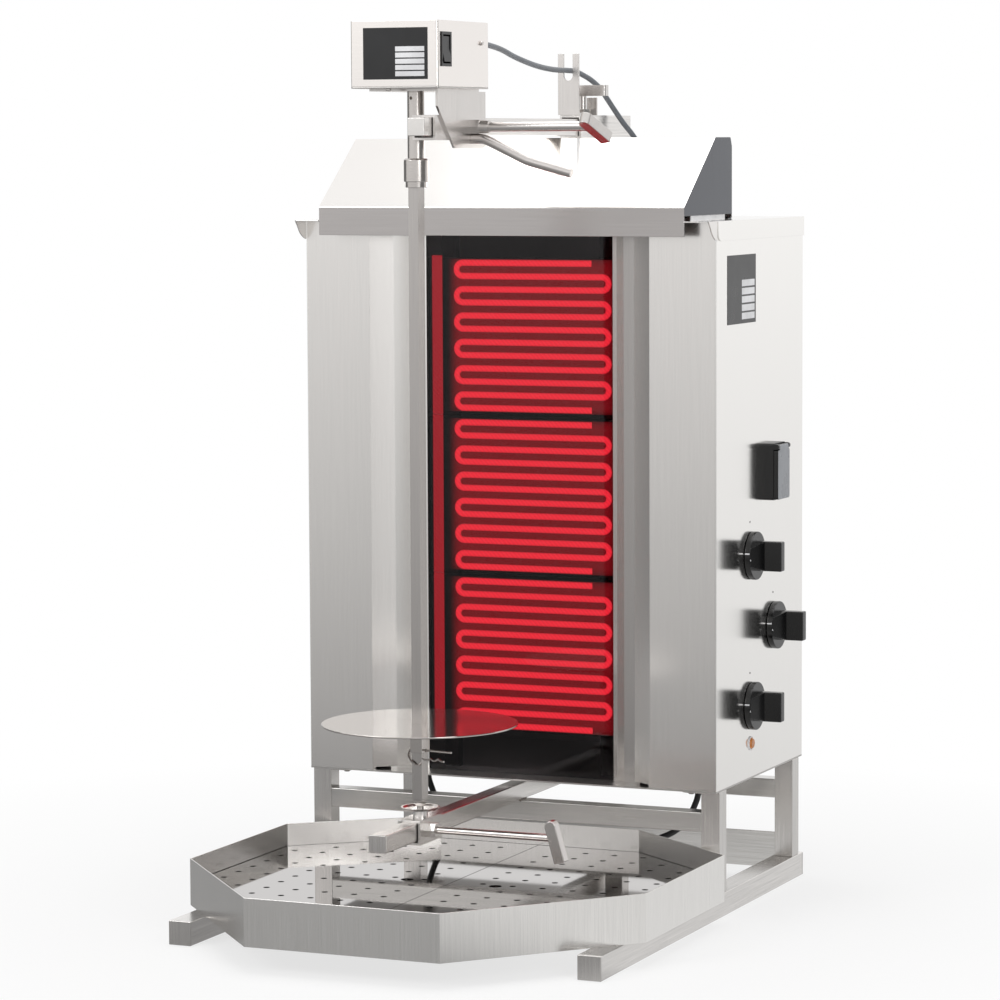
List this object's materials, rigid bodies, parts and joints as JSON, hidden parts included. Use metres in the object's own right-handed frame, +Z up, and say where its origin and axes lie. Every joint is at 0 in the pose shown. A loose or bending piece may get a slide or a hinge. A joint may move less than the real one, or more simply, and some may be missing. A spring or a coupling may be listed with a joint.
{
  "type": "electric skewer grill",
  "caption": "Vertical electric skewer grill: tube stand, heated housing behind a glass, motor carriage on an arm, square spit with a round plate, and a fat tray on rails.",
  "frame": {"origin": "under the middle of the object's box, on the floor that its rails stand on", "axes": "+X to the object's right as the cook sees it from the front, +Y to its back, +Z up"},
  "size_m": [0.63, 0.8336, 1.121],
  "materials": {
    "frame_steel": "brushed along the tube",
    "cap_steel": "ground weld",
    "bar_steel": "brushed along the tube",
    "plate_steel": "ground",
    "sheet_steel": "mill",
    "panel_steel": "fine satin",
    "flank_steel": "satin",
    "hood_steel": "bright annealed",
    "cover_steel": "fine satin",
    "tray_steel": "fine satin",
    "insert_steel": "mirror polished",
    "rod_steel": "drawn",
    "coupling_steel": "turned",
    "spit_steel": "drawn",
    "plate_disc_steel": "polished",
    "screw_steel": "plain",
    "heater_glass": "tinted glass ceramic",
    "insulation": "pressed fibre",
    "heater_ribbon": "glowing",
    "regulator_case": "moulded",
    "ceramic": "glazed",
    "lamp_lens": "amber, clear",
    "black_plastic": "moulded",
    "knob_plastic": "moulded",
    "black_rubber": "extruded",
    "grey_rubber": "extruded",
    "motor_case": "cast"
  },
  "bodies": {
    "stand": {"rail_left": "frame_steel", "rail_right": "frame_steel", "end_caps": "cap_steel", "uprights": "frame_steel", "crossbars": "frame_steel", "rear_plate": "sheet_steel", "lower_bar": "bar_steel", "tab_screws": "screw_steel", "mast": "frame_steel", "arm_socket": "bar_steel", "arm_bar": "bar_steel", "cable_fork": "plate_steel", "base_pan": "sheet_steel", "rear_panel": "sheet_steel", "side_panel_left": "panel_steel", "side_panel_right": "panel_steel", "wing_left": "panel_steel", "wing_right": "panel_steel", "flank_left": "flank_steel", "flank_right": "flank_steel", "lid": "panel_steel", "hood": "hood_steel", "glass_panel": "heater_glass", "heater_rails": "sheet_steel", "heater_pans": "sheet_steel", "insulation_boards": "insulation", "heater_coil_bottom": "heater_ribbon", "heater_coil_middle": "heater_ribbon", "heater_coil_top": "heater_ribbon", "energy_regulators": "regulator_case", "terminal_block": "ceramic", "indicator_lamp": "lamp_lens", "socket_base": "black_plastic", "cable_glands": "black_plastic", "under_cable": "black_rubber", "motor_cable": "grey_rubber"},
    "carriage": {"carriage_frame": "plate_steel", "pull_handle": "rod_steel", "motor_base": "sheet_steel", "gear_motor": "motor_case", "motor_cover": "cover_steel", "cable_grommet": "black_rubber", "rocker_frame": "black_plastic"},
    "rocker": {"rocker": "black_plastic"},
    "upper_clamp": {"upper_clamp": "rod_steel"},
    "spindle": {"drive_shaft": "rod_steel", "coupling": "coupling_steel"},
    "spit": {"spit": "spit_steel"},
    "meat_plate": {"meat_plate": "plate_disc_steel"},
    "spring_clip": {"spring_clip": "rod_steel"},
    "lower_slider": {"lower_slider": "plate_steel"},
    "lower_clamp": {"lower_clamp": "rod_steel"},
    "head_clamp": {"head_clamp": "plate_steel"},
    "knob_bottom": {"knob_bottom": "knob_plastic"},
    "knob_middle": {"knob_middle": "knob_plastic"},
    "knob_top": {"knob_top": "knob_plastic"},
    "socket_flap": {"socket_flap": "black_plastic"},
    "fat_tray": {"fat_tray": "tray_steel"},
    "insert_left": {"insert_left": "insert_steel"},
    "insert_right": {"insert_right": "insert_steel"}
  },
  "joints": [
    {"name": "carriage_slide", "type": "slide", "parent": "stand", "child": "carriage", "axis": [0, 1, 0], "range_m": [-0.02, 0.12], "deforming": ["motor_cable"]},
    {"name": "lower_slide", "type": "slide", "parent": "stand", "child": "lower_slider", "axis": [0, 1, 0], "range_m": [-0.02, 0.12]},
    {"name": "rocker_tilt", "type": "hinge", "parent": "carriage", "child": "rocker", "pos_m": [0.046, -0.23225, 1.087], "axis": [0, 1, 0], "range_deg": [0, 10]},
    {"name": "upper_clamp_turn", "type": "hinge", "parent": "carriage", "child": "upper_clamp", "pos_m": [0.1, -0.12775, 0.9955], "axis": [1, 0, 0], "range_deg": [0, 180]},
    {"name": "spindle_spin", "type": "hinge", "parent": "carriage", "child": "spindle", "pos_m": [-0.01, -0.18975, 1], "axis": [0, 0, 1], "continuous": true},
    {"name": "spit_lift", "type": "slide", "parent": "spindle", "child": "spit", "axis": [0, 0, 1], "range_m": [0, 0.015]},
    {"name": "plate_slide", "type": "slide", "parent": "spit", "child": "meat_plate", "axis": [0, 0, 1], "range_m": [0, 0.6]},
    {"name": "clip_pull", "type": "slide", "parent": "spit", "child": "spring_clip", "axis": [-0.9848, 0.1736, 0], "range_m": [0, 0.06]},
    {"name": "lower_clamp_turn", "type": "hinge", "parent": "lower_slider", "child": "lower_clamp", "pos_m": [0.1, -0.19775, 0.144], "axis": [1, 0, 0], "range_deg": [0, 180]},
    {"name": "head_clamp_turn", "type": "hinge", "parent": "stand", "child": "head_clamp", "pos_m": [0.0185, 0.27225, 1.02], "axis": [0, 0, 1], "range_deg": [-80, 0]},
    {"name": "knob_bottom_turn", "type": "hinge", "parent": "stand", "child": "knob_bottom", "pos_m": [0.3, 0.21825, 0.254], "axis": [1, 0, 0], "range_deg": [-270, 0]},
    {"name": "knob_middle_turn", "type": "hinge", "parent": "stand", "child": "knob_middle", "pos_m": [0.3, 0.30325, 0.349], "axis": [1, 0, 0], "range_deg": [-270, 0]},
    {"name": "knob_top_turn", "type": "hinge", "parent": "stand", "child": "knob_top", "pos_m": [0.3, 0.21825, 0.448], "axis": [1, 0, 0], "range_deg": [-270, 0]},
    {"name": "flap_open", "type": "hinge", "parent": "stand", "child": "socket_flap", "pos_m": [0.29, 0.28575, 0.58425], "axis": [0, -1, 0], "range_deg": [0, 110]},
    {"name": "tray_slide", "type": "slide", "parent": "stand", "child": "fat_tray", "axis": [0, -1, 0], "range_m": [0, 0.16]},
    {"name": "insert_left_lift", "type": "slide", "parent": "fat_tray", "child": "insert_left", "axis": [0, 0, 1], "range_m": [0, 0.04]},
    {"name": "insert_right_lift", "type": "slide", "parent": "fat_tray", "child": "insert_right", "axis": [0, 0, 1], "range_m": [0, 0.04]}
  ],
  "couplings": [
    {"joint": "lower_slide", "follows": "carriage_slide", "ratio": 1}
  ]
}
